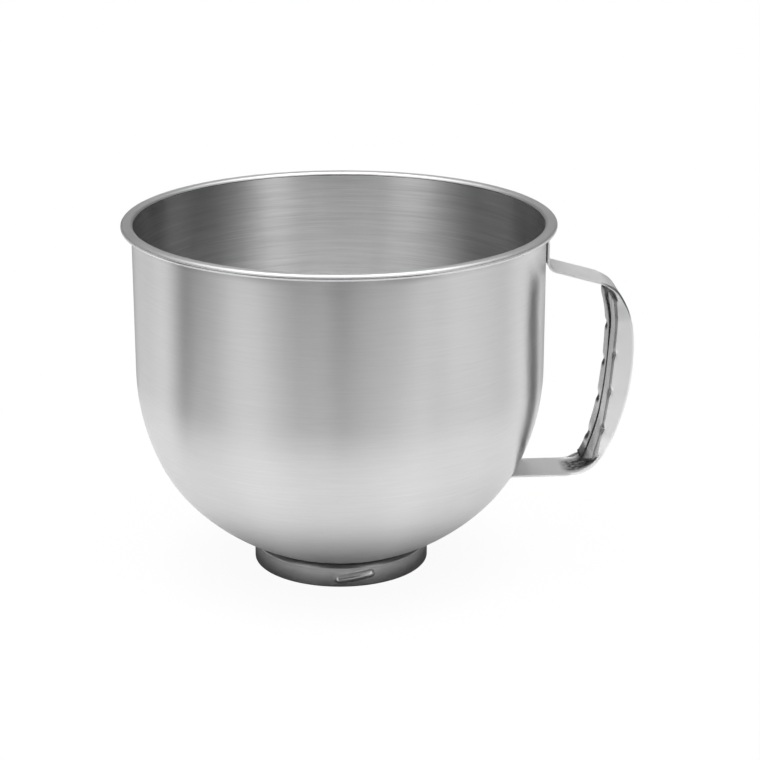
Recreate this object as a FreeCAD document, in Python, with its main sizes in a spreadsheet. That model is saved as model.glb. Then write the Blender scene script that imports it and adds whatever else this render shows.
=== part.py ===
import FreeCAD, Part
import Sketcher
import math
import os
from FreeCAD import Placement, Rotation, Vector

# Stand mixer bowl, in millimetres.
# Three sheet steel pieces, spot welded together: a drawn bowl with a curled rim, a pressed base ring
# with three bayonet ridges, and a strap handle folded from one blank.
# The origin is on the bowl's axis, on the plane that the base ring stands on. +Z is up and the handle
# is at +X.

doc = FreeCAD.newDocument("stand_mixer_bowl")

# Driving dimensions
sheet = doc.addObject("Spreadsheet::Sheet", "sizes")
SIZES = [
    # the drawn bowl, measured on its outside
    ("bowl_sheet", 0.8, "thickness of the bowl's sheet"),
    ("wall_radius", 105.6, "outside of the straight wall"),
    ("shoulder_flatter", 8.0, "how much larger the first arc below the wall is than the wall's radius"),
    ("shoulder_radius", "=wall_radius + shoulder_flatter", "first arc below the wall"),
    ("haunch_radius", 77.9, "second arc below the wall"),
    ("bottom_flatter", 6.1, "how much larger the bottom arc is than the wall's radius"),
    ("bottom_radius", "=wall_radius + bottom_flatter", "bottom arc, centred on the axis"),
    ("bottom_height", 3.3, "lowest point of the bottom arc above the base plane"),
    ("foot_drop", 8.4, "how far the wall ends below the centre of the bottom arc"),
    ("wall_foot", "=bottom_height + bottom_radius - foot_drop", "height where the straight wall ends"),
    ("dome_radius", 34.0, "inside of the raised dome in the middle of the bottom"),
    ("dome_rise", 9.0, "dome's crown above the lowest point of the bottom arc"),
    ("dome_blend", 12.0, "inside radius between dome and bottom"),
    # its curled rim
    ("rim_overhang", 5.4, "how far the rim stands out past the wall"),
    ("rim_radius", "=wall_radius + rim_overhang", "outside of the rim"),
    ("rim_height", 184.3, "top of the rim above the base plane"),
    ("rim_throat", 1.0, "radius under the rim, where wall turns outwards"),
    ("curl_bore", 0.8, "inside radius of the curl"),
    ("curl_gap", 0.8, "space between the curl's cut edge and the wall"),
    # the pressed base ring
    ("ring_sheet", 1.2, "thickness of the ring's sheet"),
    ("ring_radius", 45.8, "outside of the ring"),
    ("ring_bend", 1.0, "inside radius where the ring turns in under the bowl"),
    ("ring_lip", 9.8, "width of the ring's welded lip, with its bend"),
    ("ring_lip_radius", "=ring_radius - ring_lip", "inner edge of the welded lip"),
    ("ring_edge", 0.5, "rounding of the ring's bottom edge"),
    ("ridge_count", 3, "bayonet ridges round the ring"),
    ("ridge_azimuth", -83.3, "direction of the first ridge from +X, degrees"),
    ("ridge_length", 24.5, "length of a ridge along the ring"),
    ("ridge_width", 4.5, "height of a ridge where it leaves the wall"),
    ("ridge_rise", 2.0, "how far a ridge stands out of the wall"),
    ("ridge_level", 5.5, "height of a ridge's middle"),
    ("ridge_lead", 6.5, "slope of a ridge, degrees"),
    # the folded handle
    ("strap_sheet", 1.0, "thickness of the handle's sheet"),
    ("strap_width", 26.0, "width of the handle"),
    ("tab_corner", 3.0, "rounding of the tabs' corners"),
    ("tab_top", 174.0, "upper end of the upper tab"),
    ("upper_tab", 11.6, "straight length of the upper tab"),
    ("lower_tab", 11.0, "length of the lower tab along the bowl"),
    ("tab_bend", 5.0, "radius between a tab and its strap, on the open side"),
    ("strap_slope", 15.6, "fall of the upper strap, degrees"),
    ("strap_length", 25.5, "straight length of the upper strap"),
    ("knuckle_radius", 17.0, "bend from upper strap to grip"),
    ("knuckle_turn", 42.7, "turn of that bend, degrees"),
    ("palm_radius", 46.0, "upper arc of the grip"),
    ("palm_turn", 26.1, "turn of that arc, degrees"),
    ("grip_radius", 117.0, "long arc of the grip"),
    ("grip_turn", 34.9, "turn of that arc, degrees"),
    ("heel_radius", 18.3, "bend from grip to lower strap"),
    ("shoulder_lead", 2.0, "lower strap that already has raised edges"),
    ("brim_start", 1.4, "depth of the folded edges where they begin"),
    ("brim_top", 3.8, "depth of the upper folded edges at the grip"),
    ("brim_low", 3.6, "depth of the lower folded edges at the grip"),
    ("grip_start", 12.5, "from the knuckle's start to the rolled-in grip, along the back"),
    ("grip_end", 14.0, "from the rolled-in grip to the heel's end, along the back"),
    ("grip_width", 28.0, "width of the grip, which swells out from the strap"),
    ("grip_swell", 12.0, "length over which it swells"),
    ("grip_depth", 12.0, "deepest part of the grip, back to rolled-in edges"),
    ("grip_depth_top", 7.6, "depth at the upper end"),
    ("grip_depth_low", 5.2, "depth at the lower end"),
    ("grip_deepest", 37.0, "where it is deepest, as a distance from the upper end of the grip"),
    ("back_corner", 3.6, "outside radius between back and side of the grip"),
    ("back_corner_end", 1.25, "the same radius where the folded edges begin"),
    ("lip_corner", 2.4, "outside radius between side and rolled-in edge"),
    ("slot_width", 1.6, "slot between the two rolled-in edges"),
    ("dent_first", 19.3, "from the upper end of the grip to the first finger dent"),
    ("dent_pitch", 21.9, "spacing of the finger dents of one edge, along the back"),
    ("dent_depth", 0.9, "depth of a finger dent"),
    ("dent_length", 8.0, "length of a finger dent"),
]
for row, (alias, value, meaning) in enumerate(SIZES, start=1):
    sheet.set("A%d" % row, meaning)
    sheet.set("B%d" % row, str(value))
    sheet.setAlias("B%d" % row, alias)
doc.recompute()


def size(alias):
    """Value of one driving dimension."""
    return float(sheet.get(alias))


# Geometry in the plane of a profile: x is the distance from the bowl's axis, y is the height.
def polar(centre, radius, degrees):
    """Point of a circle, at an angle measured from +x towards +y."""
    angle = math.radians(degrees)
    return (centre[0] + radius * math.cos(angle), centre[1] + radius * math.sin(angle))


def direction(start, end):
    """Angle from one point to another, in degrees."""
    return math.degrees(math.atan2(end[1] - start[1], end[0] - start[0]))


def meet(centre_a, radius_a, centre_b, radius_b):
    """Point with the larger x where two circles cross."""
    gap = math.dist(centre_a, centre_b)
    along = (radius_a ** 2 - radius_b ** 2 + gap ** 2) / (2 * gap)
    off = math.sqrt(radius_a ** 2 - along ** 2)
    ux = (centre_b[0] - centre_a[0]) / gap
    uy = (centre_b[1] - centre_a[1]) / gap
    foot = (centre_a[0] + along * ux, centre_a[1] + along * uy)
    sides = [(foot[0] + off * uy, foot[1] - off * ux), (foot[0] - off * uy, foot[1] + off * ux)]
    return max(sides)


# Centres of the bowl's outside arcs, from the wall down to the dome
shoulder_centre = (size("wall_radius") - size("shoulder_radius"), size("wall_foot"))
bottom_centre = (0.0, size("bottom_height") + size("bottom_radius"))
haunch_centre = meet(shoulder_centre, size("shoulder_radius") - size("haunch_radius"),
                     bottom_centre, size("bottom_radius") - size("haunch_radius"))
dome_under = size("dome_radius") - size("bowl_sheet")
blend_under = size("dome_blend") + size("bowl_sheet")
dome_centre = (0.0, size("bottom_height") + size("dome_rise") - dome_under)
blend_centre = meet(dome_centre, dome_under + blend_under,
                    bottom_centre, size("bottom_radius") - blend_under)
throat_centre = (size("wall_radius") + size("rim_throat"),
                 size("rim_height") - size("bowl_sheet") - size("rim_throat"))
curl_centre = (size("rim_radius") - size("bowl_sheet") - size("curl_bore"),
               size("rim_height") - size("bowl_sheet") - size("curl_bore"))


class Profile:
    """A closed outline in a sketch: each call adds one edge that starts where the last one ended."""

    def __init__(self, body, name):
        self.sketch = body.newObject("Sketcher::SketchObject", name)
        plane = [p for p in body.Origin.OriginFeatures if p.Role == "XZ_Plane"][0]
        self.sketch.AttachmentSupport = [(plane, "")]
        self.sketch.MapMode = "FlatFace"
        self.here = None
        self.ends = []

    def join(self, index, first, last, smooth):
        """Joins an edge to the one before it, tangent where the outline runs on smoothly."""
        if self.ends:
            kind = "Tangent" if smooth else "Coincident"
            before, point = self.ends[-1]
            self.sketch.addConstraint(Sketcher.Constraint(kind, before, point, index, first))
        self.ends.append((index, last))
        return index

    def line(self, end, smooth=False):
        start = self.here
        edge = Part.LineSegment(Vector(*start, 0), Vector(*end, 0))
        index = self.sketch.addGeometry(edge)
        self.here = end
        return self.join(index, 1, 2, smooth)

    def arc(self, centre, radius, degrees_from, degrees_to, smooth=True):
        """An arc about a centre. It may run either way round, and the sketch stores it anticlockwise."""
        low, high = sorted((math.radians(degrees_from), math.radians(degrees_to)))
        circle = Part.Circle(Vector(*centre, 0), Vector(0, 0, 1), radius)
        index = self.sketch.addGeometry(Part.ArcOfCircle(circle, low, high))
        forward = degrees_to > degrees_from
        self.here = polar(centre, radius, degrees_to)
        return self.join(index, 1 if forward else 2, 2 if forward else 1, smooth)

    def close(self, smooth=False):
        """Joins the last edge to the first, which starts at its point 1 or 2 as it was drawn."""
        first, last_point = self.ends[0]
        start_point = 1 if last_point == 2 else 2
        before, point = self.ends[-1]
        kind = "Tangent" if smooth else "Coincident"
        self.sketch.addConstraint(Sketcher.Constraint(kind, before, point, first, start_point))

    def radius(self, index, formula):
        edge = self.sketch.Geometry[index]
        place = self.sketch.addConstraint(Sketcher.Constraint("Radius", index, edge.Radius))
        self.sketch.setExpression("Constraints[%d]" % place, formula)

    def distance(self, kind, index, point, formula):
        """DistanceX or DistanceY of a point from the sketch's origin."""
        where = self.sketch.getPoint(index, point)
        value = where.x if kind == "DistanceX" else where.y
        place = self.sketch.addConstraint(Sketcher.Constraint(kind, -1, 1, index, point, value))
        self.sketch.setExpression("Constraints[%d]" % place, formula)

    def thickness(self, kind, index, formula):
        """DistanceX or DistanceY along a straight edge."""
        start = self.sketch.getPoint(index, 1)
        end = self.sketch.getPoint(index, 2)
        value = end.x - start.x if kind == "DistanceX" else end.y - start.y
        ends = (index, 1, index, 2) if value > 0 else (index, 2, index, 1)
        place = self.sketch.addConstraint(Sketcher.Constraint(kind, *ends, abs(value)))
        self.sketch.setExpression("Constraints[%d]" % place, formula)

    def same_centre(self, index, other):
        self.sketch.addConstraint(Sketcher.Constraint("Coincident", index, 3, other, 3))

    def on_axis(self, index, point):
        """A point on the vertical axis, which is the bowl's."""
        self.sketch.addConstraint(Sketcher.Constraint("PointOnObject", index, point, -2))

    def on_floor(self, index, point):
        """A point on the horizontal axis, which is the plane that the base ring stands on."""
        self.sketch.addConstraint(Sketcher.Constraint("PointOnObject", index, point, -1))

    def level(self, kind, *indices):
        """Horizontal or Vertical edges."""
        for index in indices:
            self.sketch.addConstraint(Sketcher.Constraint(kind, index))


def revolved(body, name, sketch):
    """A full turn of a profile about the body's Z axis."""
    turn = body.newObject("PartDesign::Revolution", name)
    turn.Profile = sketch
    turn.ReferenceAxis = (sketch, ["V_Axis"])
    turn.Angle = 360
    return turn


def make_bowl():
    """The bowl: one sheet, drawn and rolled, with its rim curled outwards and down."""
    body = doc.addObject("PartDesign::Body", "bowl")
    body.Label = "bowl"
    sheet_size = size("bowl_sheet")
    top = size("rim_height")
    wall = size("wall_radius")
    to_dome = direction(dome_centre, blend_centre)
    to_bottom = direction(bottom_centre, blend_centre)
    to_haunch = direction(bottom_centre, haunch_centre)
    to_shoulder = direction(haunch_centre, shoulder_centre) - 180
    to_shoulder += 360 if to_shoulder < -180 else 0

    # outside, from the axis up to the cut edge of the curl
    outline = Profile(body, "bowl_profile")
    outline.here = polar(dome_centre, dome_under, 90)
    dome = outline.arc(dome_centre, dome_under, 90, to_dome, False)
    blend = outline.arc(blend_centre, blend_under, to_dome + 180, to_bottom + 360)
    bottom = outline.arc(bottom_centre, size("bottom_radius"), to_bottom, to_haunch)
    haunch = outline.arc(haunch_centre, size("haunch_radius"), to_haunch, to_shoulder)
    shoulder = outline.arc(shoulder_centre, size("shoulder_radius"), to_shoulder, 0)
    wall_out = outline.line((wall, throat_centre[1]), True)
    throat = outline.arc(throat_centre, size("rim_throat"), 180, 90)
    roof = outline.line((curl_centre[0], top - sheet_size), True)
    curl = outline.arc(curl_centre, size("curl_bore"), 90, -90)
    leg = outline.line((wall + size("curl_gap"), curl_centre[1] - size("curl_bore")), True)
    cut_edge = outline.line((outline.here[0], outline.here[1] - sheet_size))

    # and back, outside of the curl, top of the rim and inside of the bowl
    leg_out = outline.line((curl_centre[0], outline.here[1]))
    curl_out = outline.arc(curl_centre, size("curl_bore") + sheet_size, -90, 90)
    rim_top = outline.line((throat_centre[0], top), True)
    rim_inner = outline.arc(throat_centre, size("rim_throat") + sheet_size, 90, 180)
    wall_in = outline.line((wall - sheet_size, size("wall_foot")), True)
    inside = [outline.arc(shoulder_centre, size("shoulder_radius") - sheet_size, 0, to_shoulder),
              outline.arc(haunch_centre, size("haunch_radius") - sheet_size, to_shoulder, to_haunch),
              outline.arc(bottom_centre, size("bottom_radius") - sheet_size, to_haunch, to_bottom),
              outline.arc(blend_centre, size("dome_blend"), to_bottom + 360, to_dome + 180),
              outline.arc(dome_centre, size("dome_radius"), to_dome, 90)]
    outline.line(polar(dome_centre, dome_under, 90))
    outline.close()

    # one thickness all the way round: every inside arc shares the centre of its outside one
    for inner, outer in zip(inside + [curl_out, rim_inner],
                            [shoulder, haunch, bottom, blend, dome, curl, throat]):
        outline.same_centre(inner, outer)
    outline.level("Vertical", wall_out, cut_edge, wall_in)
    outline.level("Horizontal", roof, leg, leg_out, rim_top)
    outline.thickness("DistanceY", cut_edge, "sizes.bowl_sheet")
    outline.radius(dome, "sizes.dome_radius - sizes.bowl_sheet")
    outline.radius(blend, "sizes.dome_blend + sizes.bowl_sheet")
    outline.radius(bottom, "sizes.bottom_radius")
    outline.radius(haunch, "sizes.haunch_radius")
    outline.radius(shoulder, "sizes.shoulder_radius")
    outline.radius(throat, "sizes.rim_throat")
    outline.radius(curl, "sizes.curl_bore")
    outline.on_axis(dome, 3)
    outline.on_axis(dome, 2)
    outline.on_axis(inside[4], 2)
    outline.on_axis(bottom, 3)
    outline.distance("DistanceY", dome, 2, "sizes.bottom_height + sizes.dome_rise")
    outline.distance("DistanceY", bottom, 3, "sizes.bottom_height + sizes.bottom_radius")
    outline.distance("DistanceX", wall_out, 1, "sizes.wall_radius")
    outline.distance("DistanceY", wall_out, 1, "sizes.wall_foot")
    outline.distance("DistanceX", curl, 3, "sizes.rim_radius - sizes.bowl_sheet - sizes.curl_bore")
    outline.distance("DistanceY", curl, 3, "sizes.rim_height - sizes.bowl_sheet - sizes.curl_bore")
    outline.distance("DistanceX", leg, 2, "sizes.wall_radius + sizes.curl_gap")
    revolved(body, "bowl_turned", outline.sketch)
    return body


def make_base_ring():
    """The base ring: a sheet ring turned in under the bowl, with bayonet ridges pressed out of its wall."""
    body = doc.addObject("PartDesign::Body", "base_ring")
    body.Label = "base_ring"
    sheet_size = size("ring_sheet")
    wall = size("ring_radius")
    bend_out = size("ring_bend") + sheet_size
    seat = size("bottom_radius")
    bend_centre_x = wall - bend_out
    bend_centre = (bend_centre_x,
                   bottom_centre[1] - math.sqrt((seat + bend_out) ** 2 - bend_centre_x ** 2))
    to_bend = direction(bottom_centre, bend_centre)
    to_lip = -math.degrees(math.acos(size("ring_lip_radius") / seat))

    # up the outside, over the bend, along the underside of the bowl and back
    outline = Profile(body, "ring_profile")
    outline.here = (wall, size("ring_edge"))
    outside = outline.line((wall, bend_centre[1]))
    bend = outline.arc(bend_centre, bend_out, 0, to_bend + 180)
    lip_top = outline.arc(bottom_centre, seat, to_bend, to_lip)
    lip_end = outline.line(polar(bottom_centre, seat + sheet_size, to_lip))
    lip_under = outline.arc(bottom_centre, seat + sheet_size, to_lip, to_bend, False)
    bend_in = outline.arc(bend_centre, size("ring_bend"), to_bend + 180, 0)
    inside = outline.line((wall - sheet_size, 0), True)
    foot = outline.line((wall - size("ring_edge"), 0))
    edge = outline.arc((wall - size("ring_edge"), size("ring_edge")), size("ring_edge"), -90, 0)
    outline.close(True)
    outline.same_centre(bend, bend_in)
    outline.same_centre(lip_top, lip_under)
    outline.level("Vertical", outside, inside)
    outline.level("Horizontal", foot)
    outline.radius(edge, "sizes.ring_edge")
    outline.radius(bend, "sizes.ring_bend + sizes.ring_sheet")
    outline.radius(bend_in, "sizes.ring_bend")
    outline.radius(lip_top, "sizes.bottom_radius")
    outline.on_axis(lip_top, 3)
    outline.distance("DistanceY", lip_top, 3, "sizes.bottom_height + sizes.bottom_radius")
    outline.distance("DistanceX", outside, 1, "sizes.ring_radius")
    outline.on_floor(inside, 2)
    outline.distance("DistanceX", lip_end, 1, "sizes.ring_lip_radius")
    outline.distance("DistanceX", lip_end, 2,
                     "sizes.ring_lip_radius * (1 + sizes.ring_sheet / sizes.bottom_radius)")
    revolved(body, "ring_turned", outline.sketch)

    # the beads stand out of the wall, the bore is cleared of them, and their backs are pressed in
    ridges = int(size("ridge_count"))
    azimuths = [size("ridge_azimuth") + 360 * i / ridges for i in range(ridges)]
    for azimuth in azimuths:
        add_bead(body, "Additive", azimuth, "sizes.ring_radius", "sizes.ridge_width")
    bore = Profile(body, "bore_profile")
    bore.here = (0, 0)
    floor = bore.line((wall - sheet_size, 0))
    side = bore.line((wall - sheet_size, bend_centre[1]))
    roof = bore.line((0, bend_centre[1]))
    axis = bore.line((0, 0))
    bore.close()
    bore.level("Horizontal", floor, roof)
    bore.level("Vertical", side, axis)
    bore.on_axis(axis, 1)
    bore.on_floor(floor, 1)
    bore.distance("DistanceX", side, 2, "sizes.ring_radius - sizes.ring_sheet")
    bend_outside = "(sizes.ring_bend + sizes.ring_sheet)"
    bore.distance("DistanceY", side, 2,
                  "sizes.bottom_height + sizes.bottom_radius - sqrt((sizes.bottom_radius + %s) ^ 2"
                  " - (sizes.ring_radius - %s) ^ 2)" % (bend_outside, bend_outside))
    cleared = body.newObject("PartDesign::Groove", "bore_cleared")
    cleared.Profile = bore.sketch
    cleared.ReferenceAxis = (bore.sketch, ["V_Axis"])
    cleared.Angle = 360
    for azimuth in azimuths:
        add_bead(body, "Subtractive", azimuth, "(sizes.ring_radius - sizes.ring_sheet)",
                 "(sizes.ridge_width - sizes.ring_sheet)")
    return body


def add_bead(body, kind, azimuth, wall, width):
    """A half-round bead on a wall: part of a torus between two balls, whose section is the circle through
    the bead's two feet on the wall and its crest. Additive raises it, Subtractive presses it in."""
    tube = "((%s ^ 2 / 4 + sizes.ridge_rise ^ 2) / (2 * sizes.ridge_rise))" % width
    name = "raised" if kind == "Additive" else "pressed"
    torus = body.newObject("PartDesign::%sTorus" % kind, name + "_bead")
    torus.setExpression("Radius2", tube)
    torus.setExpression("Radius1", "%s + sizes.ridge_rise - %s" % (wall, tube))
    swing = math.degrees((size("ridge_length") - size("ridge_width")) / size("ring_radius"))
    torus.Angle3 = swing
    doc.recompute()

    # the bead leans about the direction that it stands out in, so that it climbs round the wall
    lean = Rotation(Vector(0, 0, 1), azimuth) * Rotation(Vector(1, 0, 0), size("ridge_lead"))
    middle = Vector(0, 0, size("ridge_level"))
    torus.Placement = Placement(middle, lean * Rotation(Vector(0, 0, 1), -swing / 2))
    for side in (-1, 1):
        ball = body.newObject("PartDesign::%sSphere" % kind, name + "_end")
        ball.setExpression("Radius", tube)
        end = Vector(*polar((0, 0), torus.Radius1.Value, side * swing / 2), 0)
        ball.Placement = Placement(middle + lean.multVec(end), lean)


# Lengths that differ by less than this are the same
NEAR = 1e-6


# Handle: one strap whose outer face follows a path in the XZ plane. The path runs down the upper tab, out
# along the upper strap, down the grip's back, in along the lower strap and down the lower tab. The space
# for the fingers is on its right-hand side.
class Path:
    """Straight runs and arcs, each starting where the last one ended and in its direction."""

    def __init__(self, start, heading):
        self.point = start
        self.heading = heading
        self.runs = []
        self.length = 0.0

    def add(self, length, turn=0.0):
        """A run of this length that turns right by so many degrees, or left where turn is negative."""
        self.runs.append((self.length, length, self.point, self.heading, turn))
        self.point, self.heading = self.at(self.length + length)
        self.length += length

    def at(self, along):
        """Point and heading at a distance along the path."""
        begin, length, point, heading, turn = [r for r in self.runs if r[0] <= along + NEAR][-1]
        step = along - begin
        if not turn:
            return polar(point, step, heading), heading
        radius = length / math.radians(turn)
        centre = polar(point, radius, heading - 90)
        turned = turn * step / length
        return polar(centre, radius, heading + 90 - turned), heading - turned

    def inside(self, along, depth):
        """Point at a depth below the outer face, towards the fingers."""
        point, heading = self.at(along)
        return polar(point, depth, heading - 90)


def handle_path():
    """The strap's outer face, and the distances along it at which its stretches begin."""
    thick = size("strap_sheet")
    bend = size("tab_bend")
    slope = size("strap_slope")
    path = Path((size("wall_radius") + thick, size("tab_top")), -90)
    path.add(size("upper_tab"))
    path.add(bend * math.radians(90 - slope), -(90 - slope))
    path.add(size("strap_length"))
    marks = {"knuckle": path.length}
    for name in ("knuckle", "palm", "grip"):
        turn = size(name + "_turn")
        path.add(size(name + "_radius") * math.radians(turn), turn)
    rest = 180 + path.heading
    path.add(size("heel_radius") * math.radians(rest), rest)
    marks["heel_end"] = path.length

    # The lower strap ends in a bend whose inner face runs smoothly onto the bowl's haunch. The lower tab
    # follows the haunch from there, and past its end the bottom.
    level = path.point[1] + thick
    bend_centre_y = level - bend - thick
    reach = size("haunch_radius") + bend + thick
    drop = bend_centre_y - haunch_centre[1]
    bend_centre = (haunch_centre[0] + math.sqrt(reach ** 2 - drop ** 2), bend_centre_y)
    path.add(path.point[0] - bend_centre[0])
    touch = direction(haunch_centre, bend_centre)
    path.add(bend * math.radians(90 + touch), -(90 + touch))
    left = size("lower_tab")
    haunch_left = touch - direction(bottom_centre, haunch_centre)
    for radius, most in ((size("haunch_radius"), haunch_left), (size("bottom_radius"), 90)):
        turn = min(math.degrees(left / radius), most)
        if turn > 0:
            path.add(math.radians(turn) * (radius + thick), turn)
            left -= math.radians(turn) * radius
    return path, marks


def strip(path, begin, end, corner_end=None):
    """The plain strap between two distances along the path, with one end's corners rounded."""
    thick = size("strap_sheet")
    half = size("strap_width") / 2
    stops = [begin] + [r[0] for r in path.runs if begin + NEAR < r[0] < end - NEAR] + [end]
    edges = []
    for depth, order in ((0, stops), (thick, stops[::-1])):
        for a, b in zip(order, order[1:]):
            ends = [path.inside(along, depth) for along in (a, (a + b) / 2, b)]
            points = [Vector(x, -half, z) for x, z in ends]
            straight = not [r for r in path.runs if r[0] <= (a + b) / 2][-1][4]
            edges.append(Part.makeLine(points[0], points[2]) if straight
                         else Part.Arc(*points).toShape())
        edges.append(Part.makeLine(points[2], Vector(*cap_end(path, order[-1], thick - depth, half))))
    solid = Part.Face(Part.Wire(edges)).extrude(Vector(0, 2 * half, 0))
    if corner_end is not None:
        x, z = path.inside(corner_end, thick / 2)
        corners = [e for e in solid.Edges
                   if math.dist((e.CenterOfMass.x, e.CenterOfMass.z), (x, z)) < thick / 2
                   and abs(abs(e.CenterOfMass.y) - half) < NEAR]
        solid = solid.makeFillet(size("tab_corner"), corners)
    return solid


def cap_end(path, along, depth, half):
    """Corner of the strap's end on the other face."""
    x, z = path.inside(along, depth)
    return (x, -half, z)


def section(path, along, outline):
    """A closed wire across the path. Each corner is (across, depth, radius), and a radius rounds it."""
    point, heading = path.at(along)
    inward = Vector(math.cos(math.radians(heading - 90)), 0, math.sin(math.radians(heading - 90)))
    base = Vector(point[0], 0, point[1])

    def place(across, depth):
        return base + inward * depth + Vector(0, across, 0)

    edges = []
    first = last = None
    count = len(outline)
    for i, (across, depth, radius) in enumerate(outline):
        here = place(across, depth)
        if radius:
            back = (place(*outline[i - 1][:2]) - here).normalize()
            ahead = (place(*outline[(i + 1) % count][:2]) - here).normalize()
            start = here + back * radius
            end = here + ahead * radius
            middle = here + (back + ahead) * radius * (1 - math.cos(math.pi / 4))
            stretch = Part.Arc(start, middle, end).toShape()
        else:
            start = end = here
            stretch = None
        if last is not None:
            edges.append(Part.makeLine(last, start))
        if stretch:
            edges.append(stretch)
        first = first if first is not None else start
        last = end
    edges.append(Part.makeLine(last, first))
    return Part.Wire(edges)


def brim_outline(half, depth, corner):
    """Section with its two edges folded up, and square corners at their free ends."""
    thick = size("strap_sheet")
    side = [(half, depth, 0), (half - thick, depth, 0), (half - thick, thick, corner - thick)]
    mirror = [(-across, d, r) for across, d, r in side[::-1]]
    return side + mirror + [(-half, 0, corner), (half, 0, corner)]


def grip_outline(half, depth, corner, near_dent, far_dent):
    """Section of the grip: back, two sides, and two edges rolled in to a narrow slot. A dent presses in
    the corner between a side and its rolled-in edge."""
    thick = size("strap_sheet")
    slot = size("slot_width") / 2
    lip = size("lip_corner")

    def one_side(sign, dent):
        return [(sign * half, depth - dent, lip), (sign * slot, depth, 0), (sign * slot, depth - thick, 0),
                (sign * (half - thick), depth - thick - dent, lip - thick),
                (sign * (half - thick), thick, corner - thick)]

    return (one_side(1, far_dent) + one_side(-1, near_dent)[::-1]
            + [(-half, 0, corner), (half, 0, corner)])


def blend(a, b, share):
    """Smooth step from a to b, level at both ends."""
    share = min(max(share, 0.0), 1.0)
    return a + (b - a) * share * share * (3 - 2 * share)


# Sections in a shoulder, and in the length of a finger dent
STATIONS = 8
DENT_STATIONS = 4


def shoulder(path, begin, end, depth_begin, depth_end):
    """The strap between plain strap and grip, where its edges rise."""
    wires = []
    for i in range(STATIONS + 1):
        share = i / STATIONS
        outline = brim_outline(size("strap_width") / 2, blend(depth_begin, depth_end, share),
                               size("back_corner_end"))
        wires.append(section(path, begin + (end - begin) * share, outline))
    return Part.makeLoft(wires, True, False)


def grip(path, begin, end):
    """The grip: a channel rolled nearly shut, with finger dents that alternate between its two edges."""
    pitch = size("dent_pitch")
    first = begin + size("dent_first")
    far_dents = [first + i * pitch for i in range(int((end - first) / pitch) + 1)]
    near_dents = [along + pitch / 2 for along in far_dents if along + pitch < end]

    def dent(along, centres):
        """Depth pressed in, which falls smoothly to nothing at the ends of a dent."""
        away = min(abs(along - centre) for centre in centres) / (size("dent_length") / 2)
        return size("dent_depth") * math.cos(math.pi / 2 * min(away, 1.0)) ** 2

    wires = []
    count = round((end - begin) / size("dent_length") * DENT_STATIONS)
    for i in range(count + 1):
        along = begin + (end - begin) * i / count
        from_top = along - begin
        from_low = end - along
        if from_top < size("grip_deepest"):
            share = from_top / size("grip_deepest")
            depth_end = size("grip_depth_top")
        else:
            share = from_low / (end - begin - size("grip_deepest"))
            depth_end = size("grip_depth_low")
        depth = depth_end + (size("grip_depth") - depth_end) * math.sin(math.pi / 2 * share)
        swell = min(from_top, from_low) / size("grip_swell")
        half = blend(size("strap_width"), size("grip_width"), swell) / 2
        corner = blend(size("back_corner_end"), size("back_corner"), swell)
        wires.append(section(path, along, grip_outline(half, depth, corner,
                                                       dent(along, near_dents), dent(along, far_dents))))
    return Part.makeLoft(wires, True, False)


def make_handle():
    """The handle: one folded strap whose middle is rolled into a grip."""
    path, marks = handle_path()
    start = marks["knuckle"]
    grip_begin = start + size("grip_start")
    grip_finish = marks["heel_end"] - size("grip_end")
    finish = marks["heel_end"] + size("shoulder_lead")
    stretches = [
        strip(path, 0, start, 0),
        shoulder(path, start, grip_begin, size("brim_start"), size("brim_top")),
        grip(path, grip_begin, grip_finish),
        shoulder(path, grip_finish, finish, size("brim_low"), size("brim_start")),
        strip(path, finish, path.length, path.length),
    ]
    shape = stretches[0].multiFuse(stretches[1:]).removeSplitter()
    handle = doc.addObject("Part::Feature", "handle")
    handle.Label = "handle"
    handle.Shape = shape.Solids[0] if len(shape.Solids) == 1 else shape
    return handle


parts = [make_bowl(), make_base_ring(), make_handle()]
doc.recompute()
for thing in doc.Objects:
    if "Invalid" in thing.State or "Error" in thing.State:
        raise SystemExit("%s failed: %s" % (thing.Name, thing.State))

os.makedirs("parts", exist_ok=True)
for part in parts:
    shape = part.Shape
    if shape.isNull() or not shape.isValid() or len(shape.Solids) != 1:
        raise SystemExit("%s is not one valid solid" % part.Label)
    print("%s: %.0f mm3, %d faces" % (part.Label, shape.Volume, len(shape.Faces)))
    shape.exportStep(os.path.join("parts", part.Label + ".step"))
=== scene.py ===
# %% [markdown]
# A steel mixing bowl, made of three pieces of sheet metal that are spot welded together: the drawn
# bowl, the ring it stands on, and a strap handle folded from one flat blank.
# This script is a lesson in making such a thing for a close look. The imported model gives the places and
# the sizes, and every piece is then made again as a fine, smooth surface, because polished metal shows
# each flat facet of a coarse mesh in its reflections.

# %% Load the frame
import math

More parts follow.
